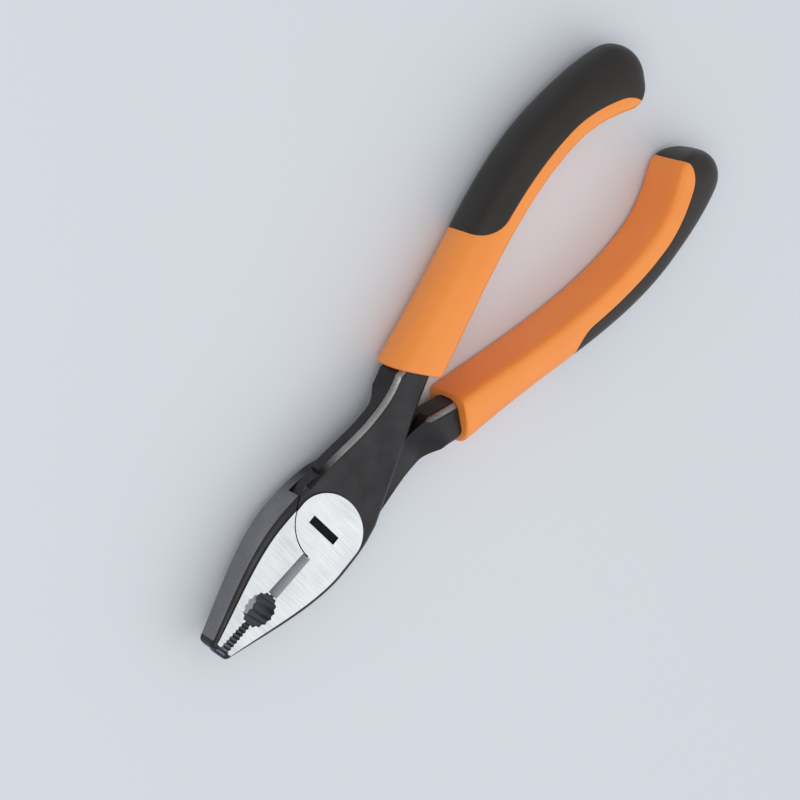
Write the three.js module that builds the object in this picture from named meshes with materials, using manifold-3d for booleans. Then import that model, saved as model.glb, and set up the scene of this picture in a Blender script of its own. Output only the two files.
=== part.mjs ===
// Combination pliers, 180 mm long: two forged levers in a lap joint, a rivet,
// and a two-shot handle (hard core and soft grip) on each lever.
// Millimetres. +Y points to the jaw tips, +Z out of the ground front face of the joint.
// The origin lies on the pivot axis, in that front face.
// Every lever is drawn with the jaws shut and then turned by half the opening shown.

import * as THREE from 'three';
import { mergeVertices } from 'three/addons/utils/BufferGeometryUtils.js';
import ManifoldModule from 'manifold-3d';

const { degToRad, lerp, smoothstep } = THREE.MathUtils;

// Head
const headThickness = 11;
const headWidth = 25.4;
const jawLength = 44;
const noseThickness = 8;
const noseWidth = 5.4;
const noseCorner = 1.1;
const noseTaperStart = 12;
const jawShoulderHeight = 9;
const jawSidePull = 20;
const jawNosePull = new THREE.Vector2(7, 31.5);
const cheekEnd = -4;
const farCheekAngle = 203;
const forgedChamfer = 1.4;

// Ground faces of the head, raised over the forged skin
const groundRelief = 0.4;
const groundWidth = 21;
const groundNoseWidth = 3.4;
const groundShoulderHeight = 10;
const groundNosePull = new THREE.Vector2(5.5, 31);
const groundRoundStart = 4;
const groundRoundDepth = 8.6;

// Lap joint
const discRadius = 12.2;
const shoulderAngle = 16;
const stopAngle = -22;
const discClearance = 0.3;
const lapClearance = 0.2;

// Rivet
const pinRadius = 4;
const pinDepth = 4;
const rivetHeadRadius = 6;
const rivetHeadDepth = 2.2;
const pinClearance = 0.15;

// Jaw faces
const cutterEnd = 25;
const pipeGripGap = 0.4;
const cutterBevelWidth = 1;
const cutterLand = 0.08;
const pipeGripEnd = 33.8;
const pipeGripDepth = 3.1;
const pipeGripTeeth = 7;
const pipeToothDepth = 0.5;
const noseFlat = 0.5;
const noseFaceClearance = 0.12;
const noseTeeth = 9;
const noseToothDepth = 0.4;

// Recessed bar in the front face
const barLength = 10;
const barWidth = 2.6;
const barDepth = 0.3;
const barCentre = new THREE.Vector2(1.2, 5);

// Shank between the joint and the handle
const shankNeckOuter = new THREE.Vector2(10.4, -22);
const shankNeckPull = 5;
const shankNeckInner = new THREE.Vector2(-2.4, -25);
const shankInnerPull = new THREE.Vector2(1.4, -33);
const shankRootOuter = new THREE.Vector2(12.4, -35);
const shankMouthInset = 2.6;
const lowerShankStart = 25;
const lowerShankRamp = 9;
const lowerShankLead = 6;
const shankPassClearance = 1.4;

// Handle: centre line, section and collar
const handleStart = new THREE.Vector2(7.4, -31);
const handleWaistPull = new THREE.Vector2(14.1, -70);
const handlePalmPull = new THREE.Vector2(33, -103);
const handleEnd = new THREE.Vector2(12.2, -135.2);
const collarWidth = 12.8;
const waistWidth = 11.2;
const palmWidth = 12.4;
const bulbWidth = 17.4;
const waistPlace = 0.33;
const palmPlace = 0.74;
const collarThickness = 16.6;
const bulbThickness = 15.4;
const collarOuter = new THREE.Vector2(15.6, -34.9);
const collarInner = new THREE.Vector2(2.2, -42.4);
const handleCrownPower = 2.3;
const collarCrownPower = 2.5;
const handleFlatPower = 6;
const handleFlatShare = 0.35;
const tipThicknessShare = 0.4;

// Soft grip
const gripStart = 0.42;
const gripStartRadius = 6.5;
const gripEndRadius = 5;
const gripSkin = 2.2;
const nearRimWidth = 4.1;
const farRimWidth = 5.4;
const gripEndWrap = 4.6;

// Tang inside the handle
const tangThickness = 6;
const tangRootWidth = 8.5;
const tangTipWidth = 4.4;
const tangReach = 0.66;
const tangOffset = -1;

// Assembly
const mouldingClearance = 0.25;
const openingShown = 2.5;

const handleStations = 26;
const domeStations = 7;
const sectionPoints = 28;
const outlineSegments = 12;
const roundSegments = 48;

const halfThickness = headThickness / 2;
const forgedHalfThickness = halfThickness - groundRelief;
const beyond = 60;
const cutMargin = 1;

const wasm = await ManifoldModule();
wasm.setup();

// Helpers between three.js geometry and solids

function toSolid(geometry) {
  const bare = geometry.clone();
  bare.deleteAttribute('normal');
  bare.deleteAttribute('uv');
  const merged = mergeVertices(bare, 1e-4);
  return new wasm.Manifold(new wasm.Mesh({
    numProp: 3,
    vertProperties: new Float32Array(merged.attributes.position.array),
    triVerts: new Uint32Array(merged.index.array),
  }));
}

function toGeometry(solid) {
  const mesh = solid.getMesh();
  const geometry = new THREE.BufferGeometry();
  geometry.setAttribute('position', new THREE.BufferAttribute(new Float32Array(mesh.vertProperties), 3));
  geometry.setIndex(new THREE.BufferAttribute(new Uint32Array(mesh.triVerts), 1));
  geometry.computeVertexNormals();
  return geometry;
}

function polygon(points) {
  return new THREE.Shape(points.map(([x, y]) => new THREE.Vector2(x, y)));
}

// A prism along Z, with an optional chamfer round both faces.
function prism(shape, low, high, chamfer = 0) {
  const geometry = new THREE.ExtrudeGeometry(shape, {
    depth: high - low - 2 * chamfer,
    bevelEnabled: chamfer > 0,
    bevelThickness: chamfer,
    bevelSize: chamfer,
    bevelOffset: -chamfer,
    bevelSegments: 1,
    curveSegments: outlineSegments,
  });
  geometry.translate(0, 0, low + chamfer);
  return toSolid(geometry);
}

// A prism along Y, from an outline given in x and z.
function prismAlongY(points, low, high) {
  const geometry = new THREE.ExtrudeGeometry(polygon(points), { depth: high - low, bevelEnabled: false });
  const turn = new THREE.Matrix4().makeBasis(
    new THREE.Vector3(1, 0, 0), new THREE.Vector3(0, 0, 1), new THREE.Vector3(0, -1, 0));
  geometry.applyMatrix4(turn);
  geometry.translate(0, high, 0);
  return toSolid(geometry);
}

// A prism along X, from an outline given in y and z.
function prismAlongX(points, low, high) {
  const geometry = new THREE.ExtrudeGeometry(polygon(points), { depth: high - low, bevelEnabled: false });
  const turn = new THREE.Matrix4().makeBasis(
    new THREE.Vector3(0, 1, 0), new THREE.Vector3(0, 0, 1), new THREE.Vector3(1, 0, 0));
  geometry.applyMatrix4(turn);
  geometry.translate(low, 0, 0);
  return toSolid(geometry);
}

// A solid turned about the pivot axis, from radius and height pairs.
function turned(profile) {
  const geometry = new THREE.LatheGeometry(
    profile.map(([radius, height]) => new THREE.Vector2(radius, height)), roundSegments);
  geometry.rotateX(Math.PI / 2);
  return toSolid(geometry);
}

function polar(radius, degrees) {
  const angle = degToRad(degrees);
  return new THREE.Vector2(radius * Math.cos(angle), radius * Math.sin(angle));
}

// Forged lever

// Outline of the forging with both jaws; the parting cuts come later.
function forgingShape() {
  const half = headWidth / 2;
  const cheek = half - groundRelief;
  const nose = noseWidth / 2;
  const tangent = polar(discRadius, farCheekAngle);
  const root = shankRootOuter;
  const neck = shankNeckOuter;
  const shape = new THREE.Shape();
  shape.moveTo(half, jawShoulderHeight);
  shape.bezierCurveTo(half, jawSidePull, jawNosePull.x, jawNosePull.y, nose, jawLength - noseCorner);
  shape.lineTo(nose - noseCorner, jawLength);
  shape.lineTo(noseCorner - nose, jawLength);
  shape.lineTo(-nose, jawLength - noseCorner);
  shape.bezierCurveTo(-jawNosePull.x, jawNosePull.y, -half, jawSidePull, -half, jawShoulderHeight);
  shape.bezierCurveTo(-half, 0, -discRadius, 0, tangent.x, tangent.y);
  shape.lineTo(shankNeckInner.x, shankNeckInner.y);
  shape.quadraticCurveTo(
    shankInnerPull.x, shankInnerPull.y, collarInner.x + shankMouthInset, collarInner.y);
  shape.lineTo(collarInner.x + shankMouthInset, collarInner.y - 5 * cutMargin);
  shape.lineTo(root.x, collarInner.y - 5 * cutMargin);
  shape.lineTo(root.x, root.y);
  shape.bezierCurveTo(neck.x, root.y + shankNeckPull, neck.x, neck.y - shankNeckPull, neck.x, neck.y);
  shape.bezierCurveTo(neck.x, neck.y + shankNeckPull, cheek, cheekEnd - shankNeckPull, cheek, cheekEnd);
  return shape;
}

// Outline of the ground face: a drop shape with its round end toward the handles.
function groundShape() {
  const half = groundWidth / 2;
  const nose = groundNoseWidth / 2;
  const shape = new THREE.Shape();
  const pull = groundNosePull;
  shape.moveTo(half, groundRoundStart);
  shape.lineTo(half, groundShoulderHeight);
  shape.bezierCurveTo(half, jawSidePull, pull.x, pull.y, nose, jawLength - forgedChamfer);
  shape.lineTo(-nose, jawLength - forgedChamfer);
  shape.bezierCurveTo(-pull.x, pull.y, -half, jawSidePull, -half, groundShoulderHeight);
  shape.lineTo(-half, groundRoundStart);
  shape.absellipse(0, groundRoundStart, half, groundRoundDepth, Math.PI, 2 * Math.PI, false);
  return shape;
}

// The head thins toward the nose, alike on both faces.
function taperNose(solid) {
  const box = polygon([[-beyond, noseTaperStart], [beyond, noseTaperStart], [beyond, beyond], [-beyond, beyond]]);
  const noseBlock = prism(box, -headThickness, headThickness);
  const nose = toGeometry(solid.intersect(noseBlock));
  const place = nose.attributes.position;
  for (let i = 0; i < place.count; i += 1) {
    const along = (place.getY(i) - noseTaperStart) / (jawLength - noseTaperStart);
    place.setZ(i, place.getZ(i) * lerp(1, noseThickness / headThickness, along));
  }
  return solid.subtract(noseBlock).add(toSolid(nose));
}

// What one lever keeps of the forging: the front half of the joint with the shank,
// and the full thickness of its own jaw and of the shank past the joint.
function leverRegion() {
  const frontHalf = new THREE.Shape();
  const stop = polar(discRadius, stopAngle);
  const stopFar = polar(beyond, stopAngle);
  frontHalf.moveTo(0, beyond);
  frontHalf.lineTo(0, discRadius);
  frontHalf.absarc(0, 0, discRadius, Math.PI / 2, degToRad(stopAngle), true);
  frontHalf.lineTo(stop.x, stop.y);
  frontHalf.lineTo(stopFar.x, stopFar.y);
  frontHalf.lineTo(beyond, -beyond);
  frontHalf.lineTo(-beyond, -beyond);
  frontHalf.lineTo(-beyond, beyond);

  const jaw = new THREE.Shape();
  const jawRadius = discRadius + discClearance;
  const shoulderFar = polar(beyond, 180 - shoulderAngle);
  jaw.moveTo(0, beyond);
  jaw.lineTo(0, jawRadius);
  jaw.absarc(0, 0, jawRadius, Math.PI / 2, degToRad(180 - shoulderAngle), false);
  jaw.lineTo(shoulderFar.x, shoulderFar.y);
  jaw.lineTo(-beyond, beyond);

  // The other lever's inner shank edge, mirrored, keeps its distance here.
  const passing = -shankNeckInner.x + shankPassClearance;
  const lowerShank = polygon([
    [beyond, -lowerShankStart],
    [passing, -lowerShankStart],
    [shankPassClearance, shankNeckInner.y - lowerShankLead],
    [shankPassClearance, -beyond],
    [beyond, -beyond],
  ]);
  return prism(frontHalf, lapClearance / 2, headThickness)
    .add(prism(jaw, -headThickness, cutMargin))
    .add(prism(lowerShank, -headThickness, cutMargin));
}

// The profile that the jaw faces are cut to: nose teeth, toothed pipe grip, cutter.
function biteShape() {
  const shape = new THREE.Shape();
  shape.moveTo(beyond, discRadius);
  shape.lineTo(-cutterLand, discRadius);
  shape.lineTo(-cutterLand, cutterEnd);

  const start = new THREE.Vector2(-noseFaceClearance, cutterEnd + pipeGripGap);
  const chord = pipeGripEnd - start.y;
  const radius = (chord * chord / 4 + pipeGripDepth * pipeGripDepth) / (2 * pipeGripDepth);
  const centreX = start.x - pipeGripDepth + radius;
  const centreY = (start.y + pipeGripEnd) / 2;
  const halfAngle = Math.asin(chord / 2 / radius);
  for (let i = 0; i <= 2 * pipeGripTeeth; i += 1) {
    const angle = Math.PI + lerp(halfAngle, -halfAngle, i / (2 * pipeGripTeeth));
    const reach = radius + (i % 2 === 0 ? 0 : pipeToothDepth);
    shape.lineTo(centreX + reach * Math.cos(angle), centreY + reach * Math.sin(angle));
  }

  const noseStart = pipeGripEnd + noseFlat;
  const pitch = (jawLength - noseStart) / noseTeeth;
  for (let i = 0; i < noseTeeth; i += 1) {
    shape.lineTo(-noseFaceClearance, noseStart + i * pitch);
    shape.lineTo(-noseFaceClearance - noseToothDepth, noseStart + (i + 0.5) * pitch);
  }
  shape.lineTo(-noseFaceClearance, jawLength);
  shape.lineTo(-noseFaceClearance, beyond);
  shape.lineTo(beyond, beyond);
  return shape;
}

// The ground bevels that meet in the cutting edge at mid thickness.
function cutterBevels() {
  const reach = halfThickness + cutMargin;
  const slope = cutterBevelWidth / halfThickness;
  const bevel = (side) => prismAlongY(
    side > 0
      ? [[-cutterLand, 0], [beyond, 0], [beyond, reach], [-cutterLand - slope * reach, reach]]
      : [[-cutterLand, 0], [-cutterLand - slope * reach, -reach], [beyond, -reach], [beyond, 0]],
    discRadius + discClearance, cutterEnd);
  return bevel(1).add(bevel(-1));
}

// The back half of the shank fades in behind the sweep of the other lever.
function lowerShankRampCut() {
  const steps = 8;
  const points = [
    [-lowerShankStart - lowerShankRamp, -headThickness],
    [cutMargin - lowerShankStart, -headThickness],
    [cutMargin - lowerShankStart, lapClearance / 2],
  ];
  for (let i = 0; i <= steps; i += 1) {
    const fade = smoothstep(i / steps, 0, 1);
    points.push([-lowerShankStart - lowerShankRamp * i / steps, lerp(lapClearance / 2, -forgedHalfThickness, fade)]);
  }
  return prismAlongX(points, -beyond, beyond);
}

// Everything on one side of the collar line; positive offset moves it toward the handle.
function collarSide(towardHandle, offset) {
  const along = collarInner.clone().sub(collarOuter).normalize();
  const down = new THREE.Vector2(-along.y, along.x);
  const near = down.clone().multiplyScalar(offset);
  const far = down.clone().multiplyScalar(towardHandle ? beyond * 3 : -beyond * 3);
  const a = collarOuter.clone().addScaledVector(along, -beyond).add(near);
  const b = collarInner.clone().addScaledVector(along, beyond).add(near);
  const c = b.clone().add(far);
  const d = a.clone().add(far);
  return prism(new THREE.Shape([a, b, c, d]), -beyond, beyond);
}

function leverBlank() {
  const forged = prism(forgingShape(), -forgedHalfThickness, forgedHalfThickness, forgedChamfer);
  const ground = prism(groundShape(), -halfThickness, halfThickness, groundRelief);
  return taperNose(forged.add(ground))
    .intersect(leverRegion())
    .subtract(prism(biteShape(), -beyond, beyond))
    .subtract(cutterBevels())
    .subtract(lowerShankRampCut())
    .subtract(collarSide(true, -mouldingClearance))
    .add(tang(0));
}

function frontLeverSolid() {
  const bore = turned([[0, -cutMargin], [pinRadius, -cutMargin], [pinRadius, pinDepth], [0, pinDepth]]);
  const x = barLength / 2;
  const y = barWidth / 2;
  const bar = polygon([[-x, -y], [x, -y], [x, y], [-x, y]].map(([u, v]) => [u + barCentre.x, v + barCentre.y]));
  return leverBlank()
    .subtract(bore)
    .subtract(prism(bar, halfThickness - barDepth, halfThickness + cutMargin));
}

// Drawn like the front lever; the assembly turns it over.
function rearLeverSolid() {
  const bore = turned([
    [0, -cutMargin],
    [pinRadius, -cutMargin],
    [pinRadius, halfThickness - rivetHeadDepth],
    [rivetHeadRadius, halfThickness],
    [rivetHeadRadius, halfThickness + cutMargin],
    [0, halfThickness + cutMargin],
  ]);
  return leverBlank().subtract(bore);
}

// Rivet, from its blind end in the front lever to its flush head in the back face.
function rivetSolid() {
  const shank = pinRadius - pinClearance;
  const head = rivetHeadRadius - pinClearance;
  const headRoot = rivetHeadDepth - halfThickness - pinClearance;
  return turned([
    [0, -halfThickness],
    [head, -halfThickness],
    [shank, headRoot],
    [shank, pinDepth - pinClearance],
    [0, pinDepth - pinClearance],
  ]);
}

// Handle

const centreLine = new THREE.CubicBezierCurve(handleStart, handleWaistPull, handlePalmPull, handleEnd);
const handleLength = centreLine.getLength();

function handleFrame(share) {
  const centre = centreLine.getPointAt(share);
  const along = centreLine.getTangentAt(share);
  return { centre, outward: new THREE.Vector2(-along.y, along.x) };
}

function handleWidthAt(share) {
  if (share < waistPlace) {
    return lerp(collarWidth, waistWidth, smoothstep(share, 0, waistPlace));
  }
  if (share < palmPlace) {
    return lerp(waistWidth, palmWidth, smoothstep(share, waistPlace, palmPlace));
  }
  return lerp(palmWidth, bulbWidth, smoothstep(share, palmPlace, 1));
}

// A swept body with a flat inner side and a crowned outer side, domed at the far end.
// skin pulls the outer side and both faces inward and leaves the inner side in place.
function handleBody(skin) {
  const reach = handleLength - skin;
  const positions = [];
  const rings = [];
  for (let i = 0; i < handleStations; i += 1) {
    rings.push(i / handleStations * (reach - bulbWidth / 2) / handleLength);
  }
  for (let i = 0; i < domeStations; i += 1) {
    const turn = i / domeStations * Math.PI / 2;
    rings.push((reach - bulbWidth / 2 * (1 - Math.sin(turn))) / handleLength);
  }
  rings.forEach((share) => {
    const { centre, outward } = handleFrame(share);
    const fullWidth = handleWidthAt(share);
    const left = (reach / handleLength - share) * handleLength / (fullWidth / 2);
    const dome = left < 1 ? Math.sqrt(1 - (1 - left) ** 2) : 1;
    const width = (fullWidth - skin) * dome;
    const middle = -skin / 2;
    const thickness = (lerp(collarThickness, bulbThickness, share) - 2 * skin) * lerp(tipThicknessShare, 1, dome);
    for (let j = 0; j < sectionPoints; j += 1) {
      const angle = j / sectionPoints * 2 * Math.PI;
      const c = Math.cos(angle);
      const s = Math.sin(angle);
      const crown = lerp(collarCrownPower, handleCrownPower, smoothstep(share, 0, waistPlace));
      const power = 2 / (c > 0 ? crown : handleFlatPower);
      const span = c > 0 ? 1 + handleFlatShare : 1 - handleFlatShare;
      const across = Math.sign(c) * span * Math.abs(c) ** power - handleFlatShare;
      const x = middle + across * width / 2;
      const z = Math.sign(s) * Math.abs(s) ** power * thickness / 2;
      positions.push(centre.x + outward.x * x, centre.y + outward.y * x, z);
    }
  });
  const index = [];
  for (let i = 0; i < rings.length - 1; i += 1) {
    for (let j = 0; j < sectionPoints; j += 1) {
      const a = i * sectionPoints + j;
      const b = i * sectionPoints + (j + 1) % sectionPoints;
      index.push(a, b, a + sectionPoints, b, b + sectionPoints, a + sectionPoints);
    }
  }
  const first = handleFrame(rings[0]).centre;
  const last = handleFrame(reach / handleLength).centre;
  const firstIndex = positions.length / 3;
  positions.push(first.x, first.y, 0, last.x, last.y, 0);
  const lastRing = (rings.length - 1) * sectionPoints;
  for (let j = 0; j < sectionPoints; j += 1) {
    const next = (j + 1) % sectionPoints;
    index.push(firstIndex, next, j);
    index.push(firstIndex + 1, lastRing + j, lastRing + next);
  }
  const geometry = new THREE.BufferGeometry();
  geometry.setAttribute('position', new THREE.Float32BufferAttribute(positions, 3));
  geometry.setIndex(index);
  return toSolid(geometry);
}

// The part of the handle that the soft grip covers. The two faces differ in how much
// of the core shows beside the flat inner side.
function gripZone(clearance) {
  return prism(gripOutline(nearRimWidth, clearance), clearance - cutMargin, beyond)
    .add(prism(gripOutline(farRimWidth, clearance), -beyond, -cutMargin / 2));
}

// Its outline on one face: a band along the outer side with rounded inner corners.
function gripOutline(rimWidth, clearance) {
  const far = 20;
  const start = gripStart * handleLength + clearance;
  const end = handleLength - gripEndWrap + clearance;
  const points = [];
  const at = (place, x) => {
    const { centre, outward } = handleFrame(Math.min(place / handleLength, 1));
    points.push(centre.clone().addScaledVector(outward, x));
  };
  const rimAt = (place) => rimWidth + clearance - handleWidthAt(place / handleLength) / 2;

  at(start, far);
  const cornerSteps = 5;
  for (let i = 0; i <= cornerSteps; i += 1) {
    const turn = i / cornerSteps * Math.PI / 2;
    const place = start + gripStartRadius * (1 - Math.cos(turn));
    at(place, rimAt(place) + gripStartRadius * (1 - Math.sin(turn)));
  }
  const steps = 12;
  const roundStart = end - gripEndRadius;
  for (let i = 1; i <= steps; i += 1) {
    const place = lerp(start + gripStartRadius, roundStart, i / steps);
    at(place, rimAt(place));
  }
  for (let i = 1; i <= cornerSteps; i += 1) {
    const turn = i / cornerSteps * Math.PI / 2;
    const place = roundStart + gripEndRadius * Math.sin(turn);
    at(place, rimAt(place) - gripEndRadius * (1 - Math.cos(turn)));
  }
  at(end, -far);
  const { centre, outward } = handleFrame(1);
  const onward = new THREE.Vector2(outward.y, -outward.x).multiplyScalar(far);
  points.push(centre.clone().addScaledVector(outward, -far).add(onward));
  points.push(centre.clone().addScaledVector(outward, far).add(onward));
  for (let i = steps; i > 0; i -= 1) {
    at(lerp(start, handleLength, i / steps), far);
  }
  return new THREE.Shape(points);
}

// The forged tang; clearance widens it into the cavity that holds it.
function tang(clearance) {
  const start = 0.02;
  const steps = 12;
  const reach = tangReach + clearance / handleLength;
  const side = (sign) => {
    const points = [];
    for (let i = 0; i <= steps; i += 1) {
      const share = lerp(start, reach, i / steps);
      const { centre, outward } = handleFrame(share);
      const half = lerp(tangRootWidth, tangTipWidth, share / tangReach) / 2 + clearance;
      points.push(centre.clone().addScaledVector(outward, tangOffset + sign * half));
    }
    return points;
  };
  const outline = new THREE.Shape([...side(1), ...side(-1).reverse()]);
  return prism(outline, -tangThickness / 2 - clearance, tangThickness / 2 + clearance);
}

function handleCoreSolid() {
  const cover = gripZone(0).subtract(handleBody(gripSkin));
  return handleBody(0)
    .subtract(collarSide(false, 0))
    .subtract(cover)
    .subtract(tang(mouldingClearance));
}

function softGripSolid() {
  return handleBody(0)
    .intersect(gripZone(mouldingClearance))
    .subtract(handleBody(gripSkin - mouldingClearance));
}

// Materials

const forgedSteel = new THREE.MeshStandardMaterial({ color: 0x47474b, roughness: 0.42, metalness: 0.9 });
const rivetSteel = new THREE.MeshStandardMaterial({ color: 0xb9bcc0, roughness: 0.3, metalness: 1 });
const hardPlastic = new THREE.MeshStandardMaterial({ color: 0xf08a35, roughness: 0.38, metalness: 0 });
const softRubber = new THREE.MeshStandardMaterial({ color: 0x353538, roughness: 0.72, metalness: 0 });

function part(name, solid, material) {
  const mesh = new THREE.Mesh(toGeometry(solid), material.clone());
  mesh.name = name;
  return mesh;
}

// Assembly

const handleCore = handleCoreSolid();
const softGrip = softGripSolid();

const frontHalf = new THREE.Group();
frontHalf.rotation.z = degToRad(openingShown / 2);
frontHalf.add(
  part('front_lever', frontLeverSolid(), forgedSteel),
  part('pivot_rivet', rivetSolid(), rivetSteel),
  part('front_handle_core', handleCore, hardPlastic),
  part('front_soft_grip', softGrip, softRubber),
);

const turnedOver = new THREE.Group();
turnedOver.rotation.y = Math.PI;
turnedOver.add(
  part('rear_lever', rearLeverSolid(), forgedSteel),
  part('rear_handle_core', handleCore, hardPlastic),
  part('rear_soft_grip', softGrip, softRubber),
);
const rearHalf = new THREE.Group();
rearHalf.rotation.z = -degToRad(openingShown / 2);
rearHalf.add(turnedOver);

const pliers = new THREE.Group();
pliers.position.z = -halfThickness;
pliers.add(frontHalf, rearHalf);

export default pliers;
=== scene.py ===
# %% [markdown]
# Combination pliers, dressed for a studio picture.
#
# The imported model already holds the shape, the size and the hinge. This script adds
# what the eye looks for: softened edges, the oxide skin of the forging, bright ground
# faces, moulded plastic and rubber, a floor, light and a camera. The model comes in
# first and is never moved, so each piece made here is drawn where the model has it.

import math

import bmesh
import bpy
import numpy as np
from mathutils import Matrix, Quaternion, Vector


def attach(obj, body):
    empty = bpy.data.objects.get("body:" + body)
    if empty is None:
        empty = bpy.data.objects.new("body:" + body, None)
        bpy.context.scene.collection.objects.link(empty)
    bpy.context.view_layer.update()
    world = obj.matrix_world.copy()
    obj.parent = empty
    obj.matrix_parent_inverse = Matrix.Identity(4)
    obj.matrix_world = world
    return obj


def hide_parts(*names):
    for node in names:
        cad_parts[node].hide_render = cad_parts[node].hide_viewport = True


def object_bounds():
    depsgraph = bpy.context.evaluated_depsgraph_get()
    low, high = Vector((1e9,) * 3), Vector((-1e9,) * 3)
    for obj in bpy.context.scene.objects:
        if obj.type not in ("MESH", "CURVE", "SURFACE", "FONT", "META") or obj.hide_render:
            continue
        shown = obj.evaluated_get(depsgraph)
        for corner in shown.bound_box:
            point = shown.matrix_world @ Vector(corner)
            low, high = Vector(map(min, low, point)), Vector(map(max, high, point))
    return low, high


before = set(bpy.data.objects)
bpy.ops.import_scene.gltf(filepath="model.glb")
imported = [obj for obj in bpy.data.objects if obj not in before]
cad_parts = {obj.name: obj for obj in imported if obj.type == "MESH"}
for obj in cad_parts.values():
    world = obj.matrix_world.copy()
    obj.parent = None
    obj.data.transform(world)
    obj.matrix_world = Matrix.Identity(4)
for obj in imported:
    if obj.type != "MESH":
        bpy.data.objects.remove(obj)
cad_low, cad_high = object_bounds()
print("nodes:", sorted(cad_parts))
print("size in mm:", [round(1000 * v, 1) for v in Vector(cad_high) - Vector(cad_low)])

# %% [markdown]
# Sizes are given in millimetres, as on a drawing, and Blender works in metres, so one
# number turns the first into the second. Colours are written as the hex values that a
# paint program shows. Blender mixes light in linear values, so one function converts
# them. A second function adds a shader node with its settings and links. The rest is
# what every material needs: a shader, a noise of a given size, a blend of two colours
# and the last three links.

# %% Units, colours and shader helpers
MM = 0.001


def linear(hex_colour):
    """An sRGB colour such as "e8873c" as linear red, green, blue and alpha."""
    shares = [int(hex_colour[i:i + 2], 16) / 255 for i in (0, 2, 4)]
    return tuple(
        s / 12.92 if s <= 0.04045 else ((s + 0.055) / 1.055) ** 2.4 for s in shares
    ) + (1.0,)


def add(tree, kind, inputs=None, **settings):
    """Adds a shader node; an input is a value or another node's output socket."""
    node = tree.nodes.new("ShaderNode" + kind)
    for name, value in settings.items():
        setattr(node, name, value)
    for name, value in (inputs or {}).items():
        if isinstance(value, bpy.types.NodeSocket):
            tree.links.new(value, node.inputs[name])
        else:
            node.inputs[name].default_value = value
    return node


def new_material(name, **values):
    """A material with one Principled shader, some of its sockets set by name."""
    material = bpy.data.materials.new(name)
    material.use_nodes = True
    shader = material.node_tree.nodes["Principled BSDF"]
    for socket, value in values.items():
        shader.inputs[socket.replace("_", " ")].default_value = value
    return material, material.node_tree, shader


def per_metre(size_mm):
    """The texture scale for features that are size_mm across."""
    return 1 / (size_mm * MM)


def noise(tree, place, size_mm, detail):
    """A noise with features size_mm across and some octaves of detail."""
    return add(tree, "TexNoise", {
        "Vector": place, "Scale": per_metre(size_mm), "Detail": detail}).outputs["Fac"]


def blend(tree, share, first, second):
    """The first colour where share is 0 and the second where it is 1."""
    return add(tree, "Mix", {0: share, 6: first, 7: second}, data_type="RGBA").outputs[2]


def connect(tree, shader, colour, gloss, relief):
    """Gives the shader its colour, its roughness and its bump."""
    tree.links.new(colour, shader.inputs["Base Color"])
    tree.links.new(gloss.outputs["Result"], shader.inputs["Roughness"])
    tree.links.new(relief.outputs["Normal"], shader.inputs["Normal"])


print("mid grey 808080 is", round(linear("808080")[0], 3), "in linear light")

# %% [markdown]
# The pliers lie on their back and the camera looks down on them from the side of the
# front handle, with the jaws toward it. A camera can be placed by hand or by a track
# constraint; three numbers say more: where it stands, where it looks, and how far it
# is rolled about its line of sight. A long lens keeps the handles from spreading.

# %% Camera
CAMERA_PLACE = Vector((320.746, 79.169, 472.997)) * MM
CAMERA_TARGET = Vector((4.807, -32.053, -5.5)) * MM
CAMERA_ROLL = 113.9
LENS = 107.03
SENSOR = 36.0

camera_data = bpy.data.cameras.new("camera")
camera_data.lens = LENS
camera_data.sensor_width = SENSOR
camera = bpy.data.objects.new("camera", camera_data)
camera.rotation_mode = "QUATERNION"
sight = CAMERA_TARGET - CAMERA_PLACE
roll = Quaternion((0, 0, 1), math.radians(CAMERA_ROLL))
camera.location = CAMERA_PLACE
camera.rotation_quaternion = sight.to_track_quat("-Z", "Y") @ roll
bpy.context.scene.collection.objects.link(camera)
bpy.context.scene.camera = camera
print("camera distance in mm:", round(sight.length / MM))

# %% [markdown]
# The floor is a large pale sheet just under the lowest point of the handles. Most of the
# light comes from the world. It is brightest high on one side and darkest low on the
# other, like a studio with one white wall, so the faces that look toward the dark side
# are shaded and the form shows. One soft box stands above and behind the camera. A
# wider one stands lower on the other side, where the ground faces and the rims mirror
# it. It is weak, so that they turn bright but not white. Together the lights add up to
# about one on a flat white surface, so a colour renders about as written.

# %% Floor and light
FLOOR_SIDE = 4000
FLOOR_COLOUR = "d9dde3"
WORLD_COLOUR = "f6f7f9"
BRIGHT_SIDE = Vector((-0.45, -0.1, 0.89))
DARK_AT = -0.45
DARK_STRENGTH, BRIGHT_STRENGTH = 0.5, 0.94


def make_floor():
    half = FLOOR_SIDE / 2 * MM
    corners = [(-half, -half), (half, -half), (half, half), (-half, half)]
    mesh = bpy.data.meshes.new("floor")
    mesh.from_pydata([(x, y, cad_low[2]) for x, y in corners], [], [(0, 1, 2, 3)])
    paper, _, _ = new_material(
        "matt paper", Base_Color=linear(FLOOR_COLOUR), Roughness=0.9, Specular_IOR_Level=0.2)
    mesh.materials.append(paper)
    floor = bpy.data.objects.new("floor", mesh)
    bpy.context.scene.collection.objects.link(floor)


def make_soft_box(name, direction, distance, size, radiance):
    """A square lamp at a distance in mm, turned to the camera's target."""
    lamp = bpy.data.lights.new(name, "AREA")
    lamp.shape = "SQUARE"
    lamp.size = size * MM
    lamp.energy = radiance * math.pi * lamp.size ** 2
    box = bpy.data.objects.new(name, lamp)
    box.location = CAMERA_TARGET + Vector(direction).normalized() * distance * MM
    box.rotation_mode = "QUATERNION"
    box.rotation_quaternion = Vector(direction).to_track_quat("Z", "Y")
    bpy.context.scene.collection.objects.link(box)


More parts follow.
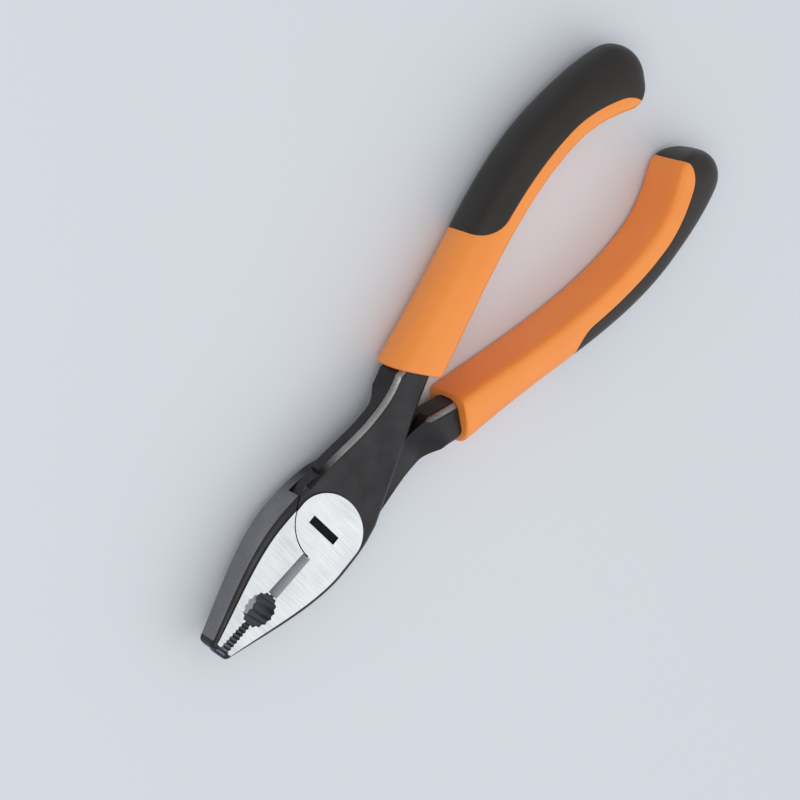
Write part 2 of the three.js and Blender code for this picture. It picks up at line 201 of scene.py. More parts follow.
def make_world():
    world = bpy.data.worlds.new("studio")
    bpy.context.scene.world = world
    world.use_nodes = True
    tree = world.node_tree
    sky = tree.nodes["Background"]
    sky.inputs["Color"].default_value = linear(WORLD_COLOUR)
    direction = add(tree, "TexCoord").outputs["Generated"]
    toward = add(tree, "VectorMath", {0: direction, 1: BRIGHT_SIDE}, operation="DOT_PRODUCT")
    strength = add(tree, "MapRange", {
        "Value": toward.outputs["Value"], "From Min": DARK_AT,
        "To Min": DARK_STRENGTH, "To Max": BRIGHT_STRENGTH})
    tree.links.new(strength.outputs["Result"], sky.inputs["Strength"])


make_floor()
make_world()
make_soft_box(
    "overhead soft box", (0.4, 0.38, 0.83), distance=1000, size=500, radiance=2.5)
make_soft_box(
    "edge soft box", (-0.765, -0.189, 0.616), distance=900, size=640, radiance=0.57)
bpy.context.scene.view_settings.view_transform = "Standard"

# %% [markdown]
# Drop-forged tool steel leaves the die with a hard oxide skin, finished here to a dark
# satin grey. It mirrors light like a metal but weakly, it has a fine pitted grain from
# shot blasting, and handling polishes it in broad patches. A near-black metal with two
# noises does this: a coarse one for the patches and a fine one for the grain. The real
# grain is about 0.1 mm, too fine to show from here, so it is drawn at 0.35 mm. One
# function makes such a skin, and the two plastics further down use it too.

# %% Material: dark oxide on forged steel
OXIDE_DARK, OXIDE_PALE = "2b2b2c", "464547"


def make_skin(name, colours, broad, fine, rough, depth, rough_by="broad", **values):
    """A skin whose broad noise mixes two colours and whose fine noise is a grain, depth
    mm deep. A noise is a size in mm and its octaves of detail; rough holds the
    roughness at the two ends of the noise that rough_by names."""
    material, tree, shader = new_material(name, **values)
    place = add(tree, "TexCoord").outputs["Object"]
    noises = {"broad": noise(tree, place, *broad), "fine": noise(tree, place, *fine)}
    colour = blend(tree, noises["broad"], linear(colours[0]), linear(colours[1]))
    gloss = add(tree, "MapRange", {
        "Value": noises[rough_by], "To Min": rough[0], "To Max": rough[1]})
    relief = add(tree, "Bump", {"Height": noises["fine"], "Distance": depth * MM})
    connect(tree, shader, colour, gloss, relief)
    return material


forged_steel = make_skin(
    "dark oxide on forged steel", (OXIDE_DARK, OXIDE_PALE), broad=(7.0, 4.0),
    fine=(0.35, 2.0), rough=(0.52, 0.36), depth=0.03, Metallic=0.9)
print("made", forged_steel.name)

# %% [markdown]
# The raised faces of the head are ground flat after forging, which takes the skin off
# and leaves bright steel with fine parallel scratches across the head. A noise that is
# stretched in one direction draws them, as streaks in the roughness and as a very
# slight bump. Other steel differs in tone, gloss and the length of its marks, so one
# function makes them all. The teeth are milled and duller. A belt has dressed the sides
# of the jaws. Use has worn the skin off the edges of the shanks, where a noise breaks
# the line between bright steel and oxide. That pale steel is also a painted highlight:
# it goes only on the rims that face the light, in a tone set for the highlight line.
# The bar in the front face is etched nearly black. The cutter's bevels are whetted, and
# their marks run every way and scatter light more than they mirror it, so that steel is
# only part metallic.
# A grinding scratch is about 0.02 mm wide, and is drawn 0.3 mm wide so that it shows.

# %% Materials: ground, milled, worn (also a painted highlight), whetted and etched steel
SCRATCH_PITCH, SCRATCH_LENGTH = 0.3, 9.0
CLOUD_SIZE = 12.0
TONE_RANGE, MARK_RANGE = (0.12, 0.4), (0.3, 0.7)
BARE_BREAK = 8.0
# Pale bare steel for the worn edges. Its tone is light enough to serve as a painted highlight
# too.
WORN_AND_HIGHLIGHT_COLOURS = "a8a6a4", "7e7c7b"


def make_bright_steel(name, colours, length, rough, depth, bared=None, metallic=1.0):
    """Machined steel with marks along X, length mm long and depth mm deep; bared says
    between which places along Y in mm it comes out of the oxide skin."""
    material, tree, shader = new_material(name, Metallic=metallic)
    place = add(tree, "TexCoord").outputs["Object"]
    along = add(tree, "Mapping", {
        "Vector": place,
        "Scale": (per_metre(length), per_metre(SCRATCH_PITCH), per_metre(SCRATCH_PITCH))})
    marks = add(tree, "TexNoise", {
        "Vector": along.outputs["Vector"], "Scale": 1.0, "Detail": 3.0}).outputs["Fac"]
    clouds = noise(tree, place, CLOUD_SIZE, 2.0)
    both = add(tree, "Math", {0: clouds, 1: marks}, operation="MULTIPLY")
    tone = add(tree, "MapRange", {
        "Value": both.outputs["Value"], "From Min": TONE_RANGE[0], "From Max": TONE_RANGE[1]})
    colour = blend(tree, tone.outputs["Result"], linear(colours[0]), linear(colours[1]))
    if bared:
        reach = add(tree, "SeparateXYZ", {"Vector": place}).outputs["Y"]
        broken = add(tree, "Math", {
            0: clouds, 1: BARE_BREAK * MM, 2: reach}, operation="MULTIPLY_ADD")
        share = add(tree, "MapRange", {
            "Value": broken.outputs["Value"],
            "From Min": (bared[0] + BARE_BREAK / 2) * MM,
            "From Max": (bared[1] + BARE_BREAK / 2) * MM})
        colour = blend(tree, share.outputs["Result"], linear(OXIDE_DARK), colour)
    gloss = add(tree, "MapRange", {
        "Value": marks, "From Min": MARK_RANGE[0], "From Max": MARK_RANGE[1],
        "To Min": rough[0], "To Max": rough[1]})
    relief = add(tree, "Bump", {"Height": marks, "Distance": depth * MM})
    connect(tree, shader, colour, gloss, relief)
    return material


ground_steel = make_bright_steel(
    "ground tool steel", ("dfe2e3", "c8cbcd"), SCRATCH_LENGTH, (0.25, 0.34), 0.003)
milled_steel = make_bright_steel(
    "milled tool steel", ("9a9da1", "7c7f83"), 1.0, (0.3, 0.42), 0.006)
# Worn edges: bare steel, and also a painted highlight. They go only on the rims that face the
# light, and their tone sets how bright that highlight line renders.
worn_and_highlight_steel = make_bright_steel(
    "worn edge of the oxide skin with a painted highlight", WORN_AND_HIGHLIGHT_COLOURS, 1.5, (0.34, 0.44), 0.006, bared=(-5, -13))
worn_and_highlight_root_steel = make_bright_steel(
    "worn edge beside the handle with a painted highlight", WORN_AND_HIGHLIGHT_COLOURS, 1.5, (0.34, 0.44), 0.006, bared=(-30, -36))
satin_steel = make_bright_steel(
    "belt-ground side of the jaw", ("8e8d8f", "777678"), 3.0, (0.36, 0.46), 0.006,
    bared=(-4, 5))
whetted_steel = make_bright_steel(
    "whetted bevel of the cutter", ("dcdfe2", "c4c7ca"), 1.0, (0.5, 0.6), 0.004, metallic=0.3)
etched_steel = make_bright_steel(
    "etched steel", ("1c1c1d", "262628"), 0.5, (0.5, 0.6), 0.01)
print("made", ground_steel.name, "and the other bright steels")

# %% [markdown]
# The hard core of each handle is polypropylene, injection moulded in a polished steel
# mould: a clean orange with a soft gloss and the faintest orange peel. Its index of
# refraction is 1.49.

# %% Material: orange polypropylene
polypropylene = make_skin(
    "moulded polypropylene", ("fb9941", "f38d39"), broad=(14.0, 2.0), fine=(0.5, 2.0),
    rough=(0.34, 0.42), rough_by="fine", depth=0.008, IOR=1.49)
print("made", polypropylene.name)

# %% [markdown]
# The soft grip is a thermoplastic elastomer, moulded over the core in an eroded mould.
# That gives it an even, matt grain, drawn here 0.4 mm wide so that it shows. The grain
# traps light, which a specular level under the usual 0.5 stands for, so the grip stays
# dark and warm at every angle, with only a broad, dull highlight.

# %% Material: charcoal elastomer
elastomer = make_skin(
    "moulded elastomer", ("201b19", "2a2522"), broad=(9.0, 3.0), fine=(0.4, 1.0),
    rough=(0.5, 0.4), depth=0.03, IOR=1.5, Specular_IOR_Level=0.38)
print("made", elastomer.name)

# %% [markdown]
# Every lever is drawn in a frame of its own, with the jaws shut, its front face up and
# mid thickness at zero. One matrix places it in the pliers: the front half turns by
# half the opening, and the rear half is first turned over and then turned the other
# way. A drawing made once can so serve both halves.

# %% Where the two halves stand
HEAD_THICKNESS = 11.0
OPENING = 2.5

dropped = Matrix.Scale(MM, 4) @ Matrix.Translation((0, 0, -HEAD_THICKNESS / 2))
turned_over = Matrix.Rotation(math.pi, 4, "Y")
PLACES = {
    "front": dropped @ Matrix.Rotation(math.radians(OPENING / 2), 4, "Z"),
    "rear": dropped @ Matrix.Rotation(math.radians(-OPENING / 2), 4, "Z") @ turned_over,
}


def add_piece(name, mesh, half, node):
    """Links a mesh as the piece that stands for a CAD node."""
    piece = bpy.data.objects.new(name, mesh)
    bpy.context.scene.collection.objects.link(piece)
    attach(piece, half + "_half")
    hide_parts(node)
    return piece


def smooth(mesh, sharp_from):
    """Smooth shading, but for edges where faces meet at sharp_from degrees or more."""
    mesh.polygons.foreach_set("use_smooth", [True] * len(mesh.polygons))
    mesh.set_sharp_from_angle(angle=math.radians(sharp_from))


print("halves:", list(PLACES))

# %% [markdown]
# The handle is a D-shaped section swept along a curve: nearly flat on the side that
# faces the other handle and crowned on the side that lies in the palm. A Bezier curve
# gives the sweep, and a superellipse with one power for each side gives the section.
# A table of lengths along the curve turns a distance from its start into a point.

# %% Handle: centre line and section
HANDLE_POINTS = np.array([(7.4, -31), (14.1, -70), (33, -103), (12.2, -135.2)])
COLLAR_WIDTH, WAIST_WIDTH, PALM_WIDTH, BULB_WIDTH = 12.8, 11.2, 12.4, 17.4
WAIST_PLACE, PALM_PLACE = 0.33, 0.74
COLLAR_THICKNESS, BULB_THICKNESS = 16.6, 15.4
COLLAR_OUTER = np.array((15.6, -34.9))
COLLAR_INNER = np.array((2.2, -42.4))
HANDLE_CROWN, COLLAR_CROWN, FLAT_POWER = 2.3, 2.5, 6.0
FLAT_SHARE = 0.35
TIP_POWER = 2.8
WIDTH_FIT = 0.997

MOUTH_SLANT = (COLLAR_INNER - COLLAR_OUTER) / np.linalg.norm(COLLAR_INNER - COLLAR_OUTER)
MOUTH_INWARD = np.array((-MOUTH_SLANT[1], MOUTH_SLANT[0]))

CURVE_SAMPLES = 2000


def bezier(controls, share):
    """Points of a Bezier curve, for shares of it from 0 to 1 in a column."""
    order = len(controls) - 1
    return sum(
        math.comb(order, i) * (1 - share) ** (order - i) * share ** i * controls[i]
        for i in range(order + 1))


curve_point = bezier(HANDLE_POINTS, np.linspace(0, 1, CURVE_SAMPLES)[:, None])
curve_step = np.linalg.norm(np.diff(curve_point, axis=0), axis=1)
curve_place = np.concatenate([[0], np.cumsum(curve_step)])
curve_tangent = np.gradient(curve_point, curve_place, axis=0)
HANDLE_LENGTH = curve_place[-1]


def along_curve(table, place):
    """Looks up a table along the centre line at distances from its start."""
    return np.stack([np.interp(place, curve_place, table[:, k]) for k in (0, 1)], -1)


def ease(value, low, high):
    """A smooth step from 0 to 1."""
    share = np.clip((value - low) / (high - low), 0, 1)
    return share * share * (3 - 2 * share)


def full_width(place):
    share = place / HANDLE_LENGTH
    width = COLLAR_WIDTH + (WAIST_WIDTH - COLLAR_WIDTH) * ease(share, 0, WAIST_PLACE)
    width = width + (PALM_WIDTH - WAIST_WIDTH) * ease(share, WAIST_PLACE, PALM_PLACE)
    return width + (BULB_WIDTH - PALM_WIDTH) * ease(share, PALM_PLACE, 1)


def section_size(place):
    """Width, thickness and crown power of the section; the tip rounds off."""
    covered = np.clip(1 - (HANDLE_LENGTH - place) / (full_width(place) / 2), 0, 1)
    share = place / HANDLE_LENGTH
    width = full_width(place) * np.sqrt(1 - covered ** 2)
    thickness = COLLAR_THICKNESS + (BULB_THICKNESS - COLLAR_THICKNESS) * share
    thickness = thickness * (1 - covered ** TIP_POWER) ** (1 / TIP_POWER)
    crown = COLLAR_CROWN + (HANDLE_CROWN - COLLAR_CROWN) * ease(share, 0, WAIST_PLACE)
    return width, thickness, crown


def offset_point(place, across, height):
    """A point beside the centre line: across mm toward the palm, height mm up."""
    tangent = along_curve(curve_tangent, place)
    outward = np.stack([-tangent[..., 1], tangent[..., 0]], -1)
    flat = along_curve(curve_point, place) + outward * across[..., None]
    return np.concatenate([flat, height[..., None]], -1)


def skin_point(place, angle):
    """A point of the handle's skin; the angle turns from the palm side to the front."""
    width, thickness, crown = section_size(place)
    c, s = np.cos(angle), np.sin(angle)
    power = 2 / np.where(c > 0, crown, FLAT_POWER)
    span = np.where(c > 0, 1 + FLAT_SHARE, 1 - FLAT_SHARE)
    across = np.sign(c) * span * np.abs(c) ** power - FLAT_SHARE
    height = np.sign(s) * np.abs(s) ** power * thickness / 2
    return offset_point(place, across * width / 2 * WIDTH_FIT, height)


def angle_at(place, across):
    """The angle at which the front face lies across mm from the centre line."""
    width, _, crown = section_size(place)
    reach = 2 * across / (width * WIDTH_FIT) + FLAT_SHARE
    c = np.where(
        reach > 0,
        (np.abs(reach) / (1 + FLAT_SHARE)) ** (crown / 2),
        -(np.abs(reach) / (1 - FLAT_SHARE)) ** (FLAT_POWER / 2))
    return np.arccos(np.clip(c, -1, 1))


print("handle length in mm:", round(HANDLE_LENGTH, 1))

# %% [markdown]
# The two colours meet along a line that runs beside the flat side, rounds a corner at
# each end and crosses the handle. A boolean cut could find that line, but it leaves
# ragged triangles along the very edge that everyone looks at. Here the mesh is laid
# out so that its own rows and columns follow the line: every face then belongs wholly
# to the core or to the grip. Where the line turns a corner its columns swing fast from
# row to row, so the rows lie close there, or the skin would crease.

# %% Handle: rows and columns that follow the colour line
GRIP_START = 0.42 * HANDLE_LENGTH - 0.4
GRIP_END = HANDLE_LENGTH - 4.6
START_RADIUS = 6.5
END_RADIUS = 6.5
NEAR_RIM, FAR_RIM = 4.1, 5.4
PALM_LIMIT, FLAT_LIMIT = 0.9, 0.93
MOUTH_ROUND = 0.8
PALM_LEAD, LEAD_FADE = 1.3, 14.0

STRIP_COLUMNS, PALM_COLUMNS = 48, 64
COLUMNS = STRIP_COLUMNS + PALM_COLUMNS
MOUTH_ROWS, SLEEVE_ROWS, MIDDLE_ROWS, DOME_ROWS = 5, 44, 72, 18
CORNER_TURNS = np.radians([0, 4, 8, 12.5, 17, 22, 27, 36, 45, 54, 63, 72, 81, 90])
FINE_ROWS, CALM_COLUMNS = 6, 10
ANGLE_SAMPLES = 600
SEARCH_REACH, SEARCH_STEPS = 25.0, 40


def rim_angle(place, rim):
    """Angle of the colour line on one face; each end's corner is a quarter of an ellipse."""
    half = section_size(place)[0] / 2
    to_start = np.clip(1 - (place - GRIP_START) / START_RADIUS, 0, 1)
    to_end = np.clip((place - GRIP_END + END_RADIUS) / END_RADIUS, 0, 1)
    straight = rim - full_width(place) / 2
    across = straight + (PALM_LIMIT * half - straight) * (1 - np.sqrt(1 - to_start ** 2))
    across = across - (FLAT_LIMIT * half + straight) * (1 - np.sqrt(1 - to_end ** 2))
    return angle_at(place, across)


def even_angles(place, first, last, count):
    """Angles from first to last whose points lie evenly along the section."""
    dense = np.linspace(first, last, ANGLE_SAMPLES)
    points = skin_point(np.full(ANGLE_SAMPLES, place), dense)
    steps = np.linalg.norm(np.diff(points, axis=0), axis=1)
    run = np.concatenate([[0], np.cumsum(steps)])
    return np.interp(np.linspace(0, run[-1], count + 1), run, dense)[:-1]


def ring_angles(place):
    """Angles round one row: across the flat side first, then round the palm side."""
    near = float(rim_angle(np.array(place), NEAR_RIM))
    far = 2 * math.pi - float(rim_angle(np.array(place), FAR_RIM))
    return np.concatenate([
        even_angles(place, near, far, STRIP_COLUMNS),
        even_angles(place, far, near + 2 * math.pi, PALM_COLUMNS)])


def mouth_place(point_at):
    """Where lines along the handle, given by point_at, meet the slanting mouth."""
    low, high = np.zeros(COLUMNS), np.full(COLUMNS, SEARCH_REACH)
    for _ in range(SEARCH_STEPS):
        middle = (low + high) / 2
        inside = (point_at(middle)[:, :2] - COLLAR_OUTER) @ MOUTH_INWARD > 0
        low, high = np.where(inside, low, middle), np.where(inside, middle, high)
    return (low + high) / 2


def handle_rows():
    """The skin as rows of points, with the centre that each point may shrink to."""
    start_angles = ring_angles(GRIP_START)
    mouth = mouth_place(lambda place: skin_point(place, start_angles))
    rows, centres = [], []

    def lead(angles):
        return PALM_LEAD * ease(np.cos(angles), 0, 1)

    def spread(fine):
        """Rows that lie close at the corners of the line, and evenly away from them."""
        column = np.arange(COLUMNS)
        beside = np.min([column, abs(column - STRIP_COLUMNS), COLUMNS - column], axis=0)
        even = np.linspace(fine[0], fine[-1], len(fine))
        return zip(fine, fine[:, None] + np.outer(even - fine, ease(beside, 0, CALM_COLUMNS)))

    def put(place, angles, inset=0.0):
        point = skin_point(place, angles)
        middle = np.minimum(place, HANDLE_LENGTH - BULB_WIDTH / 2)
        centre = offset_point(middle, np.zeros(COLUMNS), np.zeros(COLUMNS))
        reach = np.linalg.norm(point - centre, axis=1)[:, None]
        rows.append(point + (centre - point) * inset / reach)
        centres.append(centre)

    for i in range(MOUTH_ROWS):
        turn = i / MOUTH_ROWS * math.pi / 2
        put(mouth + MOUTH_ROUND * (1 - math.cos(turn)), start_angles,
            MOUTH_ROUND * (1 - math.sin(turn)))
    for i in range(SLEEVE_ROWS):
        share = i / SLEEVE_ROWS
        end = GRIP_START - lead(start_angles)
        put(mouth + MOUTH_ROUND + (end - mouth - MOUTH_ROUND) * share, start_angles)
    start_row = len(rows)
    corner = GRIP_START + START_RADIUS * (1 - np.cos(CORNER_TURNS))
    end_corner = GRIP_END - END_RADIUS * (1 - np.cos(CORNER_TURNS[::-1]))
    middle = np.linspace(corner[-1], end_corner[0], MIDDLE_ROWS + 1)[1:-1]
    for line, place in [*spread(corner), *zip(middle, middle), *spread(end_corner)]:
        fade = 1 - ease(place, GRIP_START, GRIP_START + LEAD_FADE)
        angles = ring_angles(line)
        put(place - lead(angles) * fade, angles)
    end_row = len(rows) - 1
    end_angles = ring_angles(GRIP_END)
    for i in range(1, DOME_ROWS):
        turn = i / DOME_ROWS * math.pi / 2
        place = GRIP_END + (HANDLE_LENGTH - GRIP_END) * math.sin(turn)
        put(np.full(COLUMNS, place), end_angles)
    return np.array(rows), np.array(centres), start_row, end_row


skin, heart, START_ROW, END_ROW = handle_rows()
print("the handle's skin has", len(skin), "rows and", COLUMNS, "columns")

# %% [markdown]
# The hard core fills the handle and shows on the sleeve and the flat side. Under the
# grip it steps down, and a pocket in its mouth holds the tang of the forging. The soft
# grip is a shell over the step. Both are closed solids, made face by face from the same
# rows, so they meet along one line. A narrow bevel rounds that line on both sides.

# %% Handle: the hard core and the soft grip
STEP_DEPTH = 0.28
STEP_CLEARANCE = 0.02
SEAM_GAP, GAP_SHARE = 0.08, 0.8
SEAM_BEVEL = 0.13
HANDLE_SHARP = 35
TANG_THICKNESS, TANG_OFFSET = 6.5, -1.0
TANG_ROOT_WIDTH, TANG_TIP_WIDTH = 9.0, 4.9
TANG_REACH = 0.66 * HANDLE_LENGTH
POCKET_ROWS = 10

ROWS = len(skin)
TIP = offset_point(np.array([HANDLE_LENGTH]), np.zeros(1), np.zeros(1))[0]


def in_grip(i, j):
    """Whether the cell after row i and column j belongs to the grip."""
    return i >= END_ROW or (i >= START_ROW and j >= STRIP_COLUMNS)


def pocket_point(place):
    """One row of the pocket: a rectangle round the tang, with as many columns."""
    share = np.clip(place / TANG_REACH, 0, 1)
    half_width = (TANG_ROOT_WIDTH + (TANG_TIP_WIDTH - TANG_ROOT_WIDTH) * share) / 2
    angle = ring_angles(GRIP_START)
    across = np.cos(angle) * half_width
    height = np.sin(angle) * TANG_THICKNESS / 2
    grow = 1 / np.maximum(np.abs(np.cos(angle)), np.abs(np.sin(angle)))
    return offset_point(place, across * grow + TANG_OFFSET, height * grow)


class Solid:
    """Collects the corners and faces of a closed solid, each corner under a key."""

    def __init__(self):
        self.mesh = bmesh.new()
        self.corners = {}

    def corner(self, key, point):
        if key not in self.corners:
            self.corners[key] = self.mesh.verts.new(point)
        return self.corners[key]

    def face(self, corners):
        return self.mesh.faces.new(corners)


def cell_keys(i, j):
    """The corners of a cell as row and column; the last row's cells end in the tip."""
    k = (j + 1) % COLUMNS
    if i == ROWS - 1:
        return [(i, j), (i, k), "tip"]
    return [(i, j), (i, k), (i + 1, k), (i + 1, j)]


def seam_edges():
    """Pairs of corners between a cell of the core and a cell of the grip."""
    for i in range(START_ROW, ROWS):
        for j in range(COLUMNS):
            if in_grip(i, j) != in_grip(i - 1, j):
                yield (i, j), (i, (j + 1) % COLUMNS)
            if i < ROWS - 1 and in_grip(i, j) != in_grip(i, j - 1 if j else COLUMNS - 1):
                yield (i, j), (i + 1, j)


SEAM = list(seam_edges())
SEAM_CORNERS = {key for edge in SEAM for key in edge}


def skin_and_step(depth):
    """Functions for a corner on the skin and for the same corner at a depth below."""
    def outer(key):
        return TIP if key == "tip" else skin[key]

    def inner(key):
        centre = heart[-1, 0] if key == "tip" else heart[key]
        return centre + (outer(key) - centre) * (1 - depth)
    return outer, inner


def rows_are_fine(key):
    """Whether the rows lie too close for a bevel, as at the corners of the line."""
    i, j = key
    beside = min(j, abs(j - STRIP_COLUMNS), COLUMNS - j) < CALM_COLUMNS
    return beside and min(abs(i - START_ROW), abs(i - END_ROW)) < FINE_ROWS


def finish_handle_mesh(solid, name):
    """Faces outward, smooth shading and a bevel weight on the seam's outer edges."""
    shape = solid.mesh
    bmesh.ops.recalc_face_normals(shape, faces=shape.faces)
    weight = shape.edges.layers.float.new("bevel_weight_edge")
    for a, b in SEAM:
        edge = shape.edges.get((solid.corners[a, "skin"], solid.corners[b, "skin"]))
        edge[weight] = 0.0 if rows_are_fine(a) and rows_are_fine(b) else 1.0
    mesh = bpy.data.meshes.new(name)
    shape.to_mesh(mesh)
    shape.free()
    smooth(mesh, HANDLE_SHARP)
    return mesh


def core_mesh():
    outer, inner = skin_and_step(STEP_DEPTH)
    solid = Solid()

    def at(key, below):
        if below:
            return solid.corner((key, "step"), inner(key))
        return solid.corner((key, "skin"), outer(key))

    for i in range(ROWS):
        for j in range(COLUMNS):
            solid.face([at(key, in_grip(i, j)) for key in cell_keys(i, j)])
    for a, b in SEAM:
        solid.face([at(a, False), at(b, False), at(b, True), at(a, True)])

    mouth = mouth_place(pocket_point)
    places = [mouth + (TANG_REACH - mouth) * i / POCKET_ROWS for i in range(POCKET_ROWS + 1)]
    pocket = [pocket_point(place) for place in places]
    for j in range(COLUMNS):
        k = (j + 1) % COLUMNS
        ring = [[solid.corner((n, m, "pocket"), pocket[n][m]) for m in (j, k)]
                for n in range(POCKET_ROWS + 1)]
        solid.face([at((0, k), False), at((0, j), False), *ring[0]])
        for n in range(POCKET_ROWS):
            solid.face([ring[n][1], ring[n][0], *ring[n + 1]])
    solid.face([solid.corners[POCKET_ROWS, j, "pocket"] for j in range(COLUMNS)])
    return finish_handle_mesh(solid, "handle core")


def grip_mesh():
    outer, inner = skin_and_step(STEP_DEPTH - STEP_CLEARANCE)
    solid = Solid()
    for i in range(START_ROW, ROWS):
        for j in range(COLUMNS):
            if in_grip(i, j):
                keys = cell_keys(i, j)
                solid.face([solid.corner((key, "skin"), outer(key)) for key in keys])
                solid.face([solid.corner((key, "step"), inner(key)) for key in keys[::-1]])
    for key in SEAM_CORNERS:
        for layer in ("skin", "step"):
            corner = solid.corners[key, layer]
            middles = [face.calc_center_median() for face in corner.link_faces]
            away = sum(middles, Vector()) / len(middles) - corner.co
            gap = min(SEAM_GAP, GAP_SHARE * away.length)
            solid.corners[key, layer, "moved"] = corner.co + away.normalized() * gap
    for key in SEAM_CORNERS:
        for layer in ("skin", "step"):
            solid.corners[key, layer].co = solid.corners[key, layer, "moved"]
    for a, b in SEAM:
        solid.face([solid.corners[a, "skin"], solid.corners[b, "skin"],
                    solid.corners[b, "step"], solid.corners[a, "step"]])
    return finish_handle_mesh(solid, "soft grip")


def bevel_seam(piece):
    """Rounds the weighted edges, where the two mouldings meet."""
    bevel = piece.modifiers.new("seam", "BEVEL")
    bevel.width = SEAM_BEVEL * MM
    bevel.segments = 2
    bevel.limit_method = "WEIGHT"


core, grip = core_mesh(), grip_mesh()
for half in ("front", "rear"):
    for drawn, title, node, slot, material in (
            (core, "hard_core", "handle_core", "hard_plastic", polypropylene),
            (grip, "soft_sleeve", "soft_grip", "soft_rubber", elastomer)):
        mesh = drawn.copy()
        mesh.transform(PLACES[half])
        mesh.materials.append(material)
        piece = add_piece(f"{half}_{title}", mesh, half, f"{half}_{node}")
        bevel_seam(piece)
        print(piece.name, len(mesh.polygons), "faces")

# %% [markdown]
# A forging has no sharp edge, because a die cannot fill one. Each lever is built here
# as the workshop builds it. It starts as a blank: the outline of the forging, stacked in
# levels that draw in toward both faces, so that the rim comes out round and without
# facets. The ground face is a second, slightly thicker blank inside the first. Every
# later cut is a boolean with a solid that stands for the tool, and the faces that a
# tool leaves carry the finish of that tool.

# %% Levers: outlines as curves
HEAD_WIDTH, CHEEK_WIDTH, NOSE_WIDTH = 25.4, 24.6, 5.4
JAW_LENGTH, NOSE_THICKNESS, NOSE_ROUND = 44.0, 8.0, 1.5
TAPER_START = 12.0
JAW_ROOT, JAW_PULLS = 9.0, (20.0, (7.0, 31.5))
TIP_PULL = 0.4
DISC_LEAVE = math.radians(203)
NECK_PULL, NECK_INNER_PULL = 5.0, (1.4, -33.0)
CHEEK_START, CHEEK_PULL = -4.0, -9.0
DISC_RADIUS, DISC_CLEARANCE, LAP_CLEARANCE = 12.2, 0.3, 0.2
NECK_OUTER, NECK_INNER = np.array((10.4, -22.0)), np.array((-2.4, -25.0))
ROOT_OUTER, ROOT_INNER = np.array((12.4, -35.0)), np.array((4.8, -42.4))
ROOT_HIDDEN = 10.0
GROUND_WIDTH, GROUND_NOSE_WIDTH, GROUND_RELIEF = 21.6, 3.4, 0.4
GROUND_ROUND_START, GROUND_ROUND_DEPTH = 4.0, 8.6
GROUND_SIDE_START, GROUND_PULLS, GROUND_NOSE_BACK = 10.0, (20.0, (5.5, 31.0)), 1.4
POINT_STEP, ARC_STEP = 0.5, 2.5


def curve(*controls):
    """Points POINT_STEP mm apart on a Bezier curve or line, without the last one."""
    controls = np.array(controls, float)
    length = np.linalg.norm(np.diff(controls, axis=0), axis=1).sum()
    count = max(2, round(length / POINT_STEP))
    return bezier(controls, np.linspace(0, 1, count, endpoint=False)[:, None])


def arc(radii, first, last, centre=(0, 0)):
    """Points on an ellipse from one angle to another in degrees, ends included."""
    count = max(4, round(abs(last - first) / ARC_STEP))
    angle = np.radians(np.linspace(first, last, count + 1))
    return np.array(centre) + np.stack([np.cos(angle), np.sin(angle)], 1) * radii


def mirrored(points):
    """The same outline on the other side, from its far end."""
    return points[::-1] * (-1, 1)


def forging_outline():
    half, nose = HEAD_WIDTH / 2, NOSE_WIDTH / 2
    side = curve((half, JAW_ROOT), (half, JAW_PULLS[0]), JAW_PULLS[1],
                 (nose, JAW_LENGTH - NOSE_ROUND))
    tip = curve((nose, JAW_LENGTH - NOSE_ROUND),
                (nose - TIP_PULL, JAW_LENGTH), (nose - NOSE_ROUND, JAW_LENGTH))
    jaw = np.concatenate([side, tip, [(nose - NOSE_ROUND, JAW_LENGTH)]])
    leave = DISC_RADIUS * np.array((math.cos(DISC_LEAVE), math.sin(DISC_LEAVE)))
    pull, hidden = np.array((0, NECK_PULL)), np.array((0, ROOT_HIDDEN))
    below = np.array((ROOT_OUTER[0], ROOT_INNER[1]))
    cheek = CHEEK_WIDTH / 2
    return np.concatenate([
        jaw, mirrored(jaw),
        curve((-half, JAW_ROOT), (-half, 0), (-DISC_RADIUS, 0), leave)[1:],
        curve(leave, NECK_INNER),
        curve(NECK_INNER, NECK_INNER_PULL, ROOT_INNER),
        curve(ROOT_INNER, ROOT_INNER - hidden, below - hidden, below),
        curve(below, ROOT_OUTER),
        curve(ROOT_OUTER, (NECK_OUTER[0], ROOT_OUTER[1] + NECK_PULL),
              NECK_OUTER - pull, NECK_OUTER),
        curve(NECK_OUTER, NECK_OUTER + pull, (cheek, CHEEK_PULL), (cheek, CHEEK_START)),
        curve((cheek, CHEEK_START), (half, JAW_ROOT))])


def ground_outline():
    half, nose = GROUND_WIDTH / 2, GROUND_NOSE_WIDTH / 2
    start, end = (half, GROUND_SIDE_START), (nose, JAW_LENGTH - GROUND_NOSE_BACK)
    side = np.concatenate([
        curve((half, GROUND_ROUND_START), start),
        curve(start, (half, GROUND_PULLS[0]), GROUND_PULLS[1], end), [end]])
    round_end = arc((half, GROUND_ROUND_DEPTH), 180, 360, (0, GROUND_ROUND_START))
    return np.concatenate([side, mirrored(side), round_end[1:-1]])


print("the forging's outline has", len(forging_outline()), "points")

# %% [markdown]
# A blank is a stack of outlines. Each level gives how far the outline draws in and how
# high it lies. For the forging the levels follow a soft curve between the upright side
# and the flat face. The rings of faces between them are numbered from 0 on the upright
# side, so that a finish can follow them. The head then gets thinner toward the nose: the
# mesh is first split where the taper starts, so that both parts of the face stay flat.

